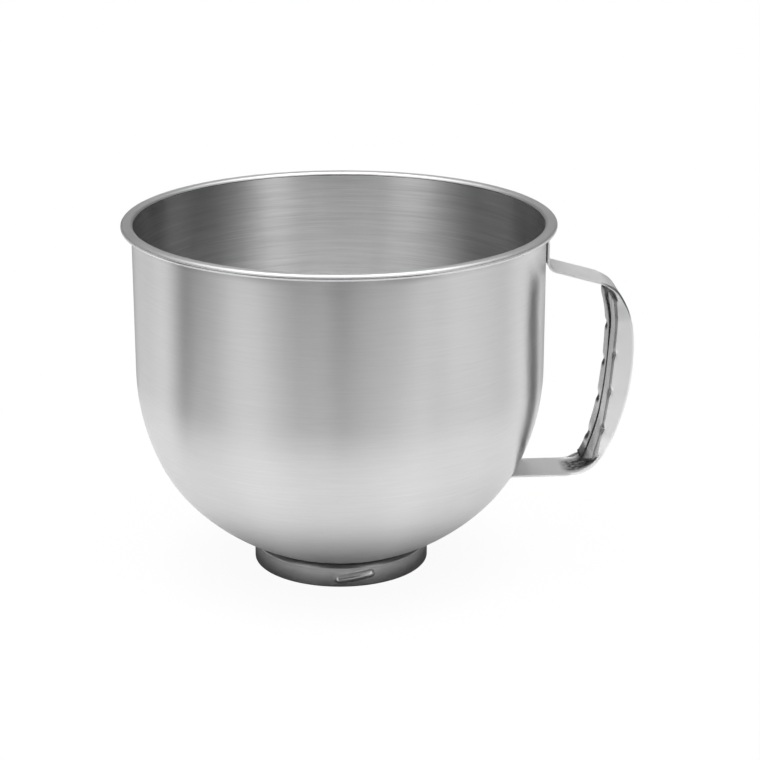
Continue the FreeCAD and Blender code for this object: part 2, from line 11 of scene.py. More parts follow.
import bpy
import numpy as np
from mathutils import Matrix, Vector


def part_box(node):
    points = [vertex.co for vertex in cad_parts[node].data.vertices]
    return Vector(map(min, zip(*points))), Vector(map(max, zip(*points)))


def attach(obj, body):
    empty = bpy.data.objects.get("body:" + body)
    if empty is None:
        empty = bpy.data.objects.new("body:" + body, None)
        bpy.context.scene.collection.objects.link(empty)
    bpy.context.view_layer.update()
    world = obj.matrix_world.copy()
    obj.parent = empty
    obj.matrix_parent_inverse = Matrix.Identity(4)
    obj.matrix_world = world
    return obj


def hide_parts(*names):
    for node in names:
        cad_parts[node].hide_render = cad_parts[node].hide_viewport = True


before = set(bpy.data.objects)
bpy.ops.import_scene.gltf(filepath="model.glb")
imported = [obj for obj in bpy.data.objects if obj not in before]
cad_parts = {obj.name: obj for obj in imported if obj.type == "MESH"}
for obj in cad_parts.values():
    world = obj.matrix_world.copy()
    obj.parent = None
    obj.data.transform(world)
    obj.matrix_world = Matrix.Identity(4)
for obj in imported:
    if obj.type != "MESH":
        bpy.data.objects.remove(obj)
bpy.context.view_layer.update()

MM = 0.001
for name in sorted(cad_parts):
    low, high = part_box(name)
    print(name, "from", [round(v / MM, 1) for v in low], "to", [round(v / MM, 1) for v in high])

# %% [markdown]
# Sizes come first. They are the real ones, in millimetres, and each is written once. The wall, the
# bottom and the curled rim are arcs and straight runs, so a handful of radii say the whole shape.
# Lists of points would say the same with more numbers, and none of them would mean anything. From the
# top down the runs are the curl, its throat, the wall, the shoulder, the haunch, the bottom and its dome.

# %% Sizes of the bowl
BOWL_SHEET = 0.8
WALL_RADIUS = 105.6
WALL_FOOT = 106.6
SHOULDER_RADIUS = 113.6
HAUNCH_RADIUS = 77.9
BOTTOM_RADIUS = 111.7
BOTTOM_HEIGHT = 3.3
DOME_RADIUS = 34.0
DOME_RISE = 9.0
DOME_BLEND = 12.0
RIM_RADIUS = 111.0
RIM_HEIGHT = 184.3
RIM_THROAT = 1.0
CURL_BORE = 0.8
CURL_GAP = 0.8
print("rim", 2 * RIM_RADIUS, "mm across,", RIM_HEIGHT, "mm high")

# %% [markdown]
# A turned shape is a profile carried round an axis. The profile lives in a plane: x is the distance
# from the axis, y the height. Small helpers make it: arcs and straight runs give its points, and the
# place where two circles cross is the centre of an arc that runs smoothly into both its neighbours.

# %% Arcs in the plane of a profile
def arc(centre, radius, start, end, count):
    """Points of a circle: centre plus radius times the cosine and sine of evenly spaced angles, which
    are given in degrees."""
    angle = np.radians(np.linspace(start, end, count))
    return np.column_stack([centre[0] + radius * np.cos(angle), centre[1] + radius * np.sin(angle)])


def straight(start, end, count):
    """Points of a line: start plus an even share of the way to the end."""
    share = np.linspace(0.0, 1.0, count)[:, None]
    return np.asarray(start, float) * (1 - share) + np.asarray(end, float) * share


def meet(centre_a, radius_a, centre_b, radius_b):
    """Where two circles cross, on the side with the larger x: along the line of centres by the law of
    cosines, then square to it by what Pythagoras leaves."""
    a, b = np.asarray(centre_a, float), np.asarray(centre_b, float)
    gap = np.linalg.norm(b - a)
    along = (radius_a ** 2 - radius_b ** 2 + gap ** 2) / (2 * gap)
    off = math.sqrt(radius_a ** 2 - along ** 2)
    unit = (b - a) / gap
    square = np.array([unit[1], -unit[0]])
    sides = [a + along * unit + off * square, a + along * unit - off * square]
    return max(sides, key=lambda point: point[0])


def bearing(start, end):
    """Angle from one point to another, in degrees."""
    return math.degrees(math.atan2(end[1] - start[1], end[0] - start[0]))


# %% [markdown]
# The bowl's sheet has one thickness all the way, so each arc of the inside shares its centre with the
# arc outside it. The profile runs from the axis along the outside up to the curl's cut edge, and back
# along the top of the rim and the inside to the axis.

# %% Profile of the bowl
shoulder_centre = np.array([WALL_RADIUS - SHOULDER_RADIUS, WALL_FOOT])
bottom_centre = np.array([0.0, BOTTOM_HEIGHT + BOTTOM_RADIUS])
haunch_centre = meet(shoulder_centre, SHOULDER_RADIUS - HAUNCH_RADIUS,
                     bottom_centre, BOTTOM_RADIUS - HAUNCH_RADIUS)


def bowl_profile():
    """The closed outline of the sheet, in two parts: the outside with the curl, and the inside. The last
    number of each run is its count of points."""
    dome_under = DOME_RADIUS - BOWL_SHEET
    blend_under = DOME_BLEND + BOWL_SHEET
    dome_centre = np.array([0.0, BOTTOM_HEIGHT + DOME_RISE - dome_under])
    blend_centre = meet(dome_centre, dome_under + blend_under,
                        bottom_centre, BOTTOM_RADIUS - blend_under)
    throat_centre = np.array([WALL_RADIUS + RIM_THROAT, RIM_HEIGHT - BOWL_SHEET - RIM_THROAT])
    curl_centre = np.array([RIM_RADIUS, RIM_HEIGHT]) - BOWL_SHEET - CURL_BORE
    to_dome = bearing(dome_centre, blend_centre)
    to_bottom = bearing(bottom_centre, blend_centre)
    to_haunch = bearing(bottom_centre, haunch_centre)
    to_shoulder = bearing(haunch_centre, shoulder_centre) - 180
    to_shoulder += 360 if to_shoulder < -180 else 0
    cut_x = WALL_RADIUS + CURL_GAP
    curl_low = curl_centre[1] - CURL_BORE
    inner_wall = WALL_RADIUS - BOWL_SHEET

    outside = [
        arc(dome_centre, dome_under, 90, to_dome, 12),
        arc(blend_centre, blend_under, to_dome + 180, to_bottom + 360, 8)[1:],
        arc(bottom_centre, BOTTOM_RADIUS, to_bottom, to_haunch, 26)[1:],
        arc(haunch_centre, HAUNCH_RADIUS, to_haunch, to_shoulder, 18)[1:],
        arc(shoulder_centre, SHOULDER_RADIUS, to_shoulder, 0, 24)[1:],
        straight((WALL_RADIUS, WALL_FOOT), (WALL_RADIUS, throat_centre[1]), 14)[1:],
        arc(throat_centre, RIM_THROAT, 180, 90, 6)[1:],
        arc(curl_centre, CURL_BORE, 90, -90, 12),
        straight((curl_centre[0], curl_low), (cut_x, curl_low), 3)[1:],
    ]
    inside = [
        straight((cut_x, curl_low - BOWL_SHEET), (curl_centre[0], curl_low - BOWL_SHEET), 3),
        arc(curl_centre, CURL_BORE + BOWL_SHEET, -90, 90, 18)[1:],
        straight((curl_centre[0], RIM_HEIGHT), (throat_centre[0], RIM_HEIGHT), 4)[1:],
        arc(throat_centre, RIM_THROAT + BOWL_SHEET, 90, 180, 9)[1:],
        straight((inner_wall, throat_centre[1]), (inner_wall, WALL_FOOT), 14)[1:],
        arc(shoulder_centre, SHOULDER_RADIUS - BOWL_SHEET, 0, to_shoulder, 24)[1:],
        arc(haunch_centre, HAUNCH_RADIUS - BOWL_SHEET, to_shoulder, to_haunch, 18)[1:],
        arc(bottom_centre, BOTTOM_RADIUS - BOWL_SHEET, to_haunch, to_bottom, 26)[1:],
        arc(blend_centre, DOME_BLEND, to_bottom + 360, to_dome + 180, 8)[1:],
        arc(dome_centre, DOME_RADIUS, to_dome, 90, 12)[1:],
    ]
    return np.vstack(outside), np.vstack(inside)


outer_line, inner_line = bowl_profile()
print("bowl profile:", len(outer_line), "points outside,", len(inner_line), "inside")

# %% [markdown]
# The grid of points becomes a mesh in one step: the faces of a grid follow a pattern that numpy can
# write down for all of them at once. A row that lies on the axis would give a ring of empty faces, so
# such a pole is one vertex with a fan of triangles round it.

# %% From grid to mesh
SHARP_ANGLE = 40.0


def grid_faces(rows, columns, wrap_rows=False, wrap_columns=False):
    """Corner numbers of every square between neighbouring rows and columns; the last joins the first
    where the grid wraps."""
    numbers = np.arange(rows * columns).reshape(rows, columns)
    if wrap_rows:
        numbers = np.vstack([numbers, numbers[:1]])
    if wrap_columns:
        numbers = np.hstack([numbers, numbers[:, :1]])
    return np.stack([numbers[:-1, :-1], numbers[:-1, 1:], numbers[1:, 1:], numbers[1:, :-1]], -1)


def make_piece(name, points, faces):
    """A mesh object at the origin from points in millimetres and lists of corners."""
    mesh = bpy.data.meshes.new(name)
    mesh.from_pydata((np.asarray(points) * MM).tolist(), [], faces)
    mesh.update()
    piece = bpy.data.objects.new(name, mesh)
    bpy.context.scene.collection.objects.link(piece)
    return piece


def smooth_with_edges(piece):
    """Smooth shading everywhere, apart from edges that turn by more than the sharp angle."""
    piece.data.shade_smooth()
    piece.data.set_sharp_from_angle(angle=math.radians(SHARP_ANGLE))


def full_turn(count):
    """Evenly spaced angles of one turn."""
    return np.linspace(0, 2 * math.pi, count, endpoint=False)


def turned_points(radius, height, turn):
    """Points carried round the axis: radius times the cosine and sine of the turn, and the height."""
    return np.stack([radius * np.cos(turn), radius * np.sin(turn), height + 0 * turn], -1)


# %% The bowl
BOWL_TURNS = 400


def make_bowl():
    """The turned sheet. Rows follow the profile; the two rows on the axis shrink to one vertex each."""
    profile = np.vstack([outer_line, inner_line])
    grid = turned_points(profile[1:-1, 0:1], profile[1:-1, 1:2], full_turn(BOWL_TURNS))
    rows = len(grid)
    poles = [(0.0, 0.0, profile[0, 1]), (0.0, 0.0, profile[-1, 1])]
    quads = grid_faces(rows, BOWL_TURNS, wrap_columns=True).reshape(-1, 4)
    edge = np.arange(BOWL_TURNS)
    ahead = np.roll(edge, -1)
    first_pole = rows * BOWL_TURNS
    under = np.column_stack([np.full(BOWL_TURNS, first_pole), ahead, edge])
    top_row = (rows - 1) * BOWL_TURNS
    over = np.column_stack([np.full(BOWL_TURNS, first_pole + 1), top_row + edge, top_row + ahead])
    points = np.vstack([grid.reshape(-1, 3), poles])
    piece = make_piece("mixing_bowl", points, quads.tolist() + under.tolist() + over.tolist())
    return piece, len(outer_line) - 1, rows


bowl, outside_rows, all_rows = make_bowl()
smooth_with_edges(bowl)
print("mixing_bowl:", len(bowl.data.polygons), "faces")

# %% [markdown]
# The base ring is one more turned profile, a closed loop this time, and it carries three bayonet ridges
# that a press has pushed out of its wall. A ridge is a smooth height added to the radius: the outline of
# a bead with round ends, measured by the distance to its middle line. Adding it to a fine grid keeps the
# ring in one piece, as in the real sheet.

# %% Sizes of the base ring
RING_SHEET = 1.2
RING_RADIUS = 45.8
RING_BEND = 1.0
RING_LIP_RADIUS = 36.0
RING_EDGE = 0.5
RING_TURNS = 900
RIDGES = 3
RIDGE_AZIMUTH = -84.2
RIDGE_LENGTH = 21.0
RIDGE_WIDTH = 4.5
RIDGE_RISE = 2.0
RIDGE_LEVEL = 5.5
RIDGE_LEAD = 8.5
RIDGE_FOOT = 0.2
RIDGE_STEEP = 0.97
ON_WALL = 0.01


# %% The base ring
def ring_profile():
    """The closed outline of the ring's sheet: outer wall, bend, welded lip, inner wall and foot."""
    bend_out = RING_BEND + RING_SHEET
    bend_x = RING_RADIUS - bend_out
    drop = math.sqrt((BOTTOM_RADIUS + bend_out) ** 2 - bend_x ** 2)
    bend_centre = np.array([bend_x, bottom_centre[1] - drop])
    to_bend = bearing(bottom_centre, bend_centre)
    to_lip = -math.degrees(math.acos(RING_LIP_RADIUS / BOTTOM_RADIUS))
    inner = RING_RADIUS - RING_SHEET
    return np.vstack([
        arc((RING_RADIUS - RING_EDGE, RING_EDGE), RING_EDGE, -90, 0, 6),
        straight((RING_RADIUS, RING_EDGE), (RING_RADIUS, bend_centre[1]), 40)[1:],
        arc(bend_centre, bend_out, 0, to_bend + 180, 10)[1:],
        arc(bottom_centre, BOTTOM_RADIUS, to_bend, to_lip, 8)[1:],
        arc(bottom_centre, BOTTOM_RADIUS + RING_SHEET, to_lip, to_bend, 8),
        arc(bend_centre, RING_BEND, to_bend + 180, 0, 8)[1:],
        straight((inner, bend_centre[1]), (inner, 0), 34)[1:],
    ])


def ridge_height(along, up, width):
    """Height of a bead over a wall. Its middle line is straight with round ends, and its section is the
    circle through its two feet and its crest: the root of the radius squared less the distance squared.
    Where the circle gets steep it goes straight on down, and a soft maximum with 0 rounds the foot."""
    lead = math.radians(RIDGE_LEAD)
    length = along * math.cos(lead) + up * math.sin(lead)
    across = up * math.cos(lead) - along * math.sin(lead)
    past_end = np.maximum(np.abs(length) - (RIDGE_LENGTH - RIDGE_WIDTH) / 2, 0)
    away = np.hypot(past_end, across)
    tube = (width ** 2 / 4 + RIDGE_RISE ** 2) / (2 * RIDGE_RISE)
    round_part = np.minimum(away, RIDGE_STEEP * tube)
    height = np.sqrt(tube ** 2 - round_part ** 2) - (tube - RIDGE_RISE)
    height = height - (away - round_part) * RIDGE_STEEP / math.sqrt(1 - RIDGE_STEEP ** 2)
    return (height + np.sqrt(height ** 2 + RIDGE_FOOT ** 2)) / 2


def make_ring():
    """The turned profile, with the ridges added to the radius of its outer and inner wall."""
    profile = ring_profile()
    turn = full_turn(RING_TURNS)
    radius, height = profile[:, 0:1], profile[:, 1:2]
    outer = radius > RING_RADIUS - ON_WALL
    inner = np.abs(radius - (RING_RADIUS - RING_SHEET)) < ON_WALL
    rise = np.zeros((len(profile), RING_TURNS))
    for ridge in range(RIDGES):
        middle = math.radians(RIDGE_AZIMUTH + 360 * ridge / RIDGES)
        along = np.angle(np.exp(1j * (turn - middle))) * RING_RADIUS
        raised = ridge_height(along, height - RIDGE_LEVEL, RIDGE_WIDTH)
        pressed = ridge_height(along, height - RIDGE_LEVEL, RIDGE_WIDTH - RING_SHEET)
        rise += np.where(outer, raised, 0) + np.where(inner, pressed, 0)
    grid = turned_points(radius + rise, height, turn)
    faces = grid_faces(len(profile), RING_TURNS, wrap_rows=True, wrap_columns=True).reshape(-1, 4)
    return make_piece("base_ring_pressed", grid.reshape(-1, 3), faces.tolist())


ring = make_ring()
smooth_with_edges(ring)
print("base_ring_pressed:", len(ring.data.polygons), "faces")

# %% [markdown]
# The handle is one strap. Its outer face follows a path of straight runs and arcs in the plane of the
# handle, and its section changes along the way: flat at both ends, edges folded up on the bends, and a
# channel rolled nearly shut where the hand grips it. So it is a profile carried along a path, with a
# profile that is itself a function of the place. Solidify then gives the skin the sheet's thickness.

# %% Sizes of the handle's path
# Each bend is a radius and the degrees that it turns by.
STRAP_SHEET = 1.0
TAB_TOP = 174.0
UPPER_TAB = 11.6
LOWER_TAB = 11.0
TAB_BEND = 5.0
STRAP_SLOPE = 15.6
STRAP_LENGTH = 25.5
BENDS = [(17.0, 42.7), (46.0, 26.1), (117.0, 34.9)]
HEEL_RADIUS = 18.3
TINY = 1e-6


# %% The handle's path
def handle_runs():
    """The path as (length, turn) runs, right turns positive, and where the grip's bends begin and end.
    The last runs are worked out so that the lower tab lies on the bowl."""
    runs = [(UPPER_TAB, 0.0), (TAB_BEND * math.radians(90 - STRAP_SLOPE), STRAP_SLOPE - 90),
            (STRAP_LENGTH, 0.0)]
    begin = sum(run[0] for run in runs)
    runs += [(radius * math.radians(turn), turn) for radius, turn in BENDS]
    rest = 180 - STRAP_SLOPE - sum(turn for _, turn in BENDS)
    runs.append((HEEL_RADIUS * math.radians(rest), rest))
    end = sum(run[0] for run in runs)

    heel = walk(runs, np.array([end]))[0][0]
    bend_y = heel[1] - TAB_BEND
    reach = HAUNCH_RADIUS + TAB_BEND + STRAP_SHEET
    bend_x = haunch_centre[0] + math.sqrt(reach ** 2 - (bend_y - haunch_centre[1]) ** 2)
    runs.append((heel[0] - bend_x, 0.0))
    touch = bearing(haunch_centre, (bend_x, bend_y))
    runs.append((TAB_BEND * math.radians(90 + touch), -(90 + touch)))
    left = LOWER_TAB
    haunch_left = touch - bearing(bottom_centre, haunch_centre)
    for radius, most in ((HAUNCH_RADIUS, haunch_left), (BOTTOM_RADIUS, 90)):
        turn = min(math.degrees(left / radius), most)
        if turn > 0:
            runs.append((math.radians(turn) * (radius + STRAP_SHEET), turn))
            left -= math.radians(turn) * radius
    return runs, begin, end


def walk(runs, along):
    """Points and headings of the path: on a straight run the start plus the distance along its heading,
    on an arc the centre plus the radius at the angle turned so far."""
    point = np.array([WALL_RADIUS + STRAP_SHEET, TAB_TOP])
    heading = -90.0
    reached = 0.0
    points = np.zeros((len(along), 2))
    headings = np.zeros(len(along))
    for length, turn in runs:
        for here in (along >= reached - TINY, None):
            step = np.array([length]) if here is None else along[here] - reached
            if turn:
                radius = length / math.radians(turn)
                side = math.radians(heading - 90)
                centre = point + radius * np.array([math.cos(side), math.sin(side)])
                now = heading - turn * step / length
                angle = np.radians(now + 90)
                place = centre + radius * np.column_stack([np.cos(angle), np.sin(angle)])
            else:
                now = np.full(len(step), heading)
                angle = math.radians(heading)
                place = point + step[:, None] * np.array([math.cos(angle), math.sin(angle)])
            if here is None:
                point, heading = place[-1], now[-1]
            else:
                points[here], headings[here] = place, now
        reached += length
    return points, headings


runs, bends_begin, bends_end = handle_runs()
path_length = sum(run[0] for run in runs)
print("handle path: %.1f mm long, bends from %.1f to %.1f" % (path_length, bends_begin, bends_end))

# %% [markdown]
# Across the strap the section is a chain of links: flat back, fold, brim, flange, and in the grip a
# second fold and the lip that is rolled in. Where the strap is flat the first fold has hardly any angle;
# towards the grip that angle grows to a right angle, as the press folds it. Each link has its own columns
# in the grid, so the same grid serves the flat strap and the rolled grip, and the faces past the blank's
# edge are left out. The wings, which are what the press rolls in, differ from side to side: the near one
# ends on a slant, the far one starts earlier and ends nearly square.
#
# The folds begin a little before the first bend and end a little after the last. A depth line is given by
# its least depth, at the wing's end, and the power that shapes it, and the slant's shares are those of
# flange, lip fold and lip. The dents' place and reach are measured round the section, from the middle of
# the lip fold.

# %% Sizes of the handle's section
FAR = 1
NEAR = -1
STRAP_WIDTH = 26.0
TAB_CORNER = 3.0
FOLD_ARC = 2.0
FOLD_EARLY = 1.0
FOLD_LATE = 4.0
FOLD_EASE = 9.0
LEAST_ANGLE = 0.004
LEAST_LINK = 0.3
BRIM_TOP = 3.2
BRIM_TOP_EASE = 18.2
BRIM_LOW = 2.4
BRIM_LOW_LATE = 5.0
BRIM_LOW_EASE = 12.0
WING_START = 14.0
WING_END = 20.8
SLANT_TOP = {FAR: 6.5, NEAR: 5.0}
SLANT_LOW = 12.5
SLANT_LENGTH = 22.0
SLANT_SHARES = {FAR: (0.85, 0.10, 0.05), NEAR: (0.15, 0.25, 0.60)}
GRIP_WIDTH = 28.0
GRIP_SWELL = 12.0
GRIP_DEPTH = 11.6
GRIP_DEEPEST = 54.0
GRIP_DEPTH_TOP = {FAR: (5.2, 0.60), NEAR: (4.2, 0.75)}
GRIP_DEPTH_LOW = (3.2, 0.72)
BACK_CORNER = 1.6
LIP_CORNER = 1.2
SLOT_WIDTH = 3.8

# %% Sizes of the finger dents
DENTS = {FAR: 4, NEAR: 3}
DENT_FIRST = 33.7
DENT_PITCH = 22.2
DENT_LENGTH = 4.2
DENT_DEPTH = {FAR: 2.4, NEAR: 1.2}
DENT_PLACE = {FAR: 3.4, NEAR: 0.0}
DENT_REACH = {FAR: 3.0, NEAR: 1.6}
DENT_INWARDS = 0.5
DENT_BACKWARDS = 0.85

# %% Grid of the handle's section
LINKS = {"back": 10, "fold": 8, "brim": 3, "flange": 8, "lip_fold": 8, "lip": 12}
BRIM_END = LINKS["back"] + LINKS["fold"] + LINKS["brim"]
SIDE_COLUMNS = sum(LINKS.values())
wing_begin = bends_begin + WING_START
wing_finish = bends_end - WING_END
deepest = bends_begin + GRIP_DEEPEST
print("the grip runs from %.1f to %.1f mm, deepest at %.1f" % (wing_begin, wing_finish, deepest))


def ease(share):
    """A smooth step from 0 to 1, level at both ends."""
    share = np.clip(share, 0, 1)
    return share * share * (3 - 2 * share)


def columns():
    """For every column the share done of each link, from the middle of the back outwards."""
    done = {}
    start = 0
    for link, count in LINKS.items():
        done[link] = np.clip((np.arange(SIDE_COLUMNS + 1) - start) / count, 0, 1)[None, :]
        start += count
    return done


def slanted(row, side, share):
    """Place along the strap of every row and column. The blank's wings end on a slant, so near both ends
    of the grip the columns of flange, lip fold and lip are moved: by the slant, times the column's share
    of it, times one minus a smooth step."""
    links = ("flange", "lip_fold", "lip")
    reach = sum(part * share[link] for part, link in zip(SLANT_SHARES[side], links))
    u = row - SLANT_TOP[side] * reach * (1 - ease((row - wing_begin) / SLANT_LENGTH))
    return u + SLANT_LOW * reach * (1 - ease((wing_finish - u) / SLANT_LENGTH))


def grip_depth(row, side):
    """Depth of the grip in every row. From the least depth at a wing's end it grows to the most at the
    deepest place as the sine of a quarter turn times the share of the way there, raised to a power."""
    from_top = np.clip((row - wing_begin) / (deepest - wing_begin), 0, 1)
    from_low = np.clip((wing_finish - row) / (wing_finish - deepest), 0, 1)
    above, below = (
        least + (GRIP_DEPTH - least) * np.sin(math.pi / 2 * way ** power)
        for way, (least, power) in ((from_top, GRIP_DEPTH_TOP[side]), (from_low, GRIP_DEPTH_LOW)))
    return np.where(row < deepest, above, below)


def dent_depth(u, from_fold, side):
    """Depth of the finger dents. Each is a bell: e to the power of minus the square of the distance along
    the strap and minus the square of the distance round the section, both as shares of the dent's size.
    The near dents lie halfway between the far ones."""
    first = bends_begin + DENT_FIRST + (0 if side == FAR else DENT_PITCH / 2)
    nearest = np.clip(np.round((u - first) / DENT_PITCH), 0, DENTS[side] - 1)
    along = (u - first - nearest * DENT_PITCH) / (DENT_LENGTH / 2)
    across = (from_fold - DENT_PLACE[side]) / DENT_REACH[side]
    return DENT_DEPTH[side] * np.exp(-along ** 2 - across ** 2)


# %% The handle's section
def half_section(rows, side):
    """Half of the strap: the place across, the depth and the place along for every row and column. Each
    link starts where the last one ends and in its direction. A straight link adds its length times the
    cosine and sine of that direction; a fold adds radius times sine across and radius times one minus
    cosine in depth, or the other way round once it starts square to the back."""
    share = columns()
    row = rows[:, None]
    u = slanted(row, side, share)
    from_start, from_end = u - bends_begin, bends_end - u

    swell = ease(np.minimum(u - wing_begin, wing_finish - u) / GRIP_SWELL)
    short = np.clip(TAB_CORNER - np.minimum(u, path_length - u), 0, TAB_CORNER)
    rounded = TAB_CORNER - np.sqrt(TAB_CORNER ** 2 - short ** 2)
    half = STRAP_WIDTH / 2 + (GRIP_WIDTH - STRAP_WIDTH) / 2 * swell - rounded

    folded = ease(np.minimum((from_start + FOLD_EARLY) / FOLD_EASE, (from_end + FOLD_LATE) / FOLD_EASE))
    angle = np.maximum(math.pi / 2 * folded, LEAST_ANGLE)
    radius = (FOLD_ARC + (BACK_CORNER * math.pi / 2 - FOLD_ARC) * swell) / angle
    fold_depth = radius * (1 - np.cos(angle))
    edge_depth = np.where(u < deepest,
                          BRIM_TOP * ease((from_start + FOLD_EARLY) / BRIM_TOP_EASE),
                          BRIM_LOW * ease((from_end + BRIM_LOW_LATE) / BRIM_LOW_EASE))
    brim = np.clip(edge_depth - fold_depth, LEAST_LINK, None)
    flange = np.clip(grip_depth(row, side) - fold_depth - LIP_CORNER - brim, LEAST_LINK, None)
    lip = half - LIP_CORNER - SLOT_WIDTH / 2

    upright = brim * share["brim"] + flange * share["flange"]
    roll = math.pi / 2 * share["lip_fold"]
    across = (half - radius * np.sin(angle) - brim * np.cos(angle)) * share["back"]
    across = across + radius * np.sin(angle * share["fold"]) + upright * np.cos(angle)
    across = across - LIP_CORNER * (1 - np.cos(roll)) - lip * share["lip"]
    deep = radius * (1 - np.cos(angle * share["fold"])) + upright * np.sin(angle)
    deep = deep + LIP_CORNER * np.sin(roll)

    from_fold = (share["lip_fold"] - 0.5) * LIP_CORNER * math.pi / 2
    from_fold = from_fold + share["lip"] * lip - (1 - share["flange"]) * flange
    dent = dent_depth(u, from_fold, side)
    return across - DENT_INWARDS * dent, deep - DENT_BACKWARDS * dent, u


# %% The handle's skin
ROW_STEP = 0.75
CORNER_ROWS = 9
EDGE_ROUND = 0.28
EDGE_ANGLE = 50.0


def strap_rows():
    """Places of the rows along the strap: finer steps on the tabs' round corners, and even ones between
    them and the wings' ends. They are rounded, so that a place that two stretches share counts once."""
    stops = [TAB_CORNER, wing_begin, wing_finish, path_length - TAB_CORNER]
    places = [np.linspace(start, end, int((end - start) / ROW_STEP))
              for start, end in zip(stops, stops[1:])]
    places.append(np.linspace(0, TAB_CORNER, CORNER_ROWS))
    places.append(np.linspace(path_length - TAB_CORNER, path_length, CORNER_ROWS))
    return np.unique(np.concatenate(places).round(6))


def make_handle():
    """Both halves side by side, carried along the path: each point is the path's point plus its depth
    square to the path and its place across. Rows outside the grip keep only back, fold and brim. The UV
    map is the flat blank in metres: the place along the strap, and the place across plus the depth."""
    rows = strap_rows()
    far_across, far_deep, far_along = half_section(rows, FAR)
    near_across, near_deep, near_along = half_section(rows, NEAR)
    across = np.hstack([-near_across[:, :0:-1], far_across]).ravel()
    deep = np.hstack([near_deep[:, :0:-1], far_deep]).ravel()
    along = np.hstack([near_along[:, :0:-1], far_along]).ravel()
    points, headings = walk(runs, np.clip(along, 0, path_length))
    inward = np.radians(headings - 90)
    outline = points + deep[:, None] * np.column_stack([np.cos(inward), np.sin(inward)])
    spots = np.column_stack([outline[:, 0], across, outline[:, 1]])

    faces = grid_faces(len(rows), 2 * SIDE_COLUMNS + 1)
    column = np.abs(np.arange(2 * SIDE_COLUMNS) - SIDE_COLUMNS + 0.5)
    middle = (rows[:-1] + rows[1:]) / 2
    in_grip = (middle > wing_begin - TINY) & (middle < wing_finish + TINY)
    wanted = (column < BRIM_END)[None, :] | in_grip[:, None]
    kept = faces[wanted]
    used = np.unique(kept)
    lookup = np.zeros(len(spots), int)
    lookup[used] = np.arange(len(used))
    piece = make_piece("folded_handle", spots[used], lookup[kept[:, ::-1]].tolist())

    uv = piece.data.uv_layers.new(name="strap")
    corners = np.zeros(len(piece.data.loops), np.int32)
    piece.data.loops.foreach_get("vertex_index", corners)
    blank = np.column_stack([along, across + np.sign(across) * deep])[used] * MM
    uv.uv.foreach_set("vector", blank[corners].astype(np.float32).ravel())
    # The lip folds and lips get the dark steel, as painted shade.
    rolled = np.broadcast_to(column > BRIM_END + LINKS["flange"], wanted.shape)[wanted]
    piece.data.polygons.foreach_set("material_index", rolled.astype(np.int32))
    return piece


handle = make_handle()
thicken = handle.modifiers.new("sheet", "SOLIDIFY")
thicken.thickness = STRAP_SHEET * MM
thicken.offset = -1
thicken.use_even_offset = True
soften = handle.modifiers.new("edges", "BEVEL")
soften.width = EDGE_ROUND * MM
soften.segments = 2
soften.limit_method = "ANGLE"
soften.angle_limit = math.radians(EDGE_ANGLE)
smooth_with_edges(handle)
print("folded_handle:", len(handle.data.polygons), "faces in its skin")

# %% [markdown]
# Brushed steel is metal whose scratches all run the same way. Light spreads across the scratches and
# hardly along them, so a lamp is drawn out into a band. The shader's anisotropy does that, with a
# tangent that runs round the axis. The scratches that the eye can still see come from noise that is
# stretched round the axis. Noise in four dimensions takes the direction as cosine and sine, so that it
# has no seam where the angle starts again.

# %% Helpers for materials
def node(tree, kind, **inputs):
    """One shader node; keyword arguments set its sockets by name, or its settings where it has such."""
    made = tree.nodes.new(kind)
    for name, value in inputs.items():
        label = name.replace("_", " ")
        sockets = [s for s in made.inputs if s.name.lower() == label.lower()]
        if not sockets:
            setattr(made, name, value)
        elif isinstance(value, bpy.types.NodeSocket):
            tree.links.new(value, sockets[0])
        else:
            sockets[0].default_value = value
    return made


def math_node(tree, operation, *values):
    """The result of a Math node."""
    made = tree.nodes.new("ShaderNodeMath")
    made.operation = operation
    for socket, value in zip(made.inputs, values):
        if isinstance(value, bpy.types.NodeSocket):
            tree.links.new(value, socket)
        else:
            socket.default_value = value
    return made.outputs[0]


def spread(tree, value, low, high, new_low, new_high):
    """A value's range moved to another range, held at both ends."""
    made = node(tree, "ShaderNodeMapRange", from_min=low, from_max=high, to_min=new_low, to_max=new_high)
    tree.links.new(value, made.inputs[0])
    return made.outputs[0]


def blend(tree, share, first, second):
    """Colour mixed from the first to the second."""
    mix = node(tree, "ShaderNodeMix", data_type="RGBA")
    tree.links.new(share, mix.inputs[0])
    for socket, value in ((mix.inputs[6], first), (mix.inputs[7], second)):
        if isinstance(value, bpy.types.NodeSocket):
            tree.links.new(value, socket)
        else:
            socket.default_value = (value, value, value, 1.0)
    return mix.outputs[2]


def coordinates(tree, kind):
    """A place or a direction on the piece, of the kind that Texture Coordinate has."""
    return node(tree, "ShaderNodeTexCoord").outputs[kind]


def split(tree, vector):
    """The three numbers of a vector."""
    return node(tree, "ShaderNodeSeparateXYZ", vector=vector).outputs


def bump(tree, height, depth_mm, **normal):
    """The normal of a surface with so many millimetres of relief, on top of another normal if given."""
    made = node(tree, "ShaderNodeBump", strength=1.0, distance=depth_mm * MM, height=height, **normal)
    return made.outputs[0]


QUARTER_TURN = 0.25


def new_metal(name, anisotropy, **brushed):
    """A metal with a Principled shader. Its tangent says which way it is brushed, and the quarter turn
    spreads the light across the lines."""
    material = bpy.data.materials.new(name)
    material.use_nodes = True
    tree = material.node_tree
    tree.nodes.clear()
    tangent = node(tree, "ShaderNodeTangent", **brushed).outputs[0]
    shader = node(tree, "ShaderNodeBsdfPrincipled", metallic=1.0, anisotropic=anisotropy,
                  anisotropic_rotation=QUARTER_TURN, tangent=tangent)
    out = tree.nodes.new("ShaderNodeOutputMaterial")
    tree.links.new(shader.outputs[0], out.inputs[0])
    return material, tree, shader
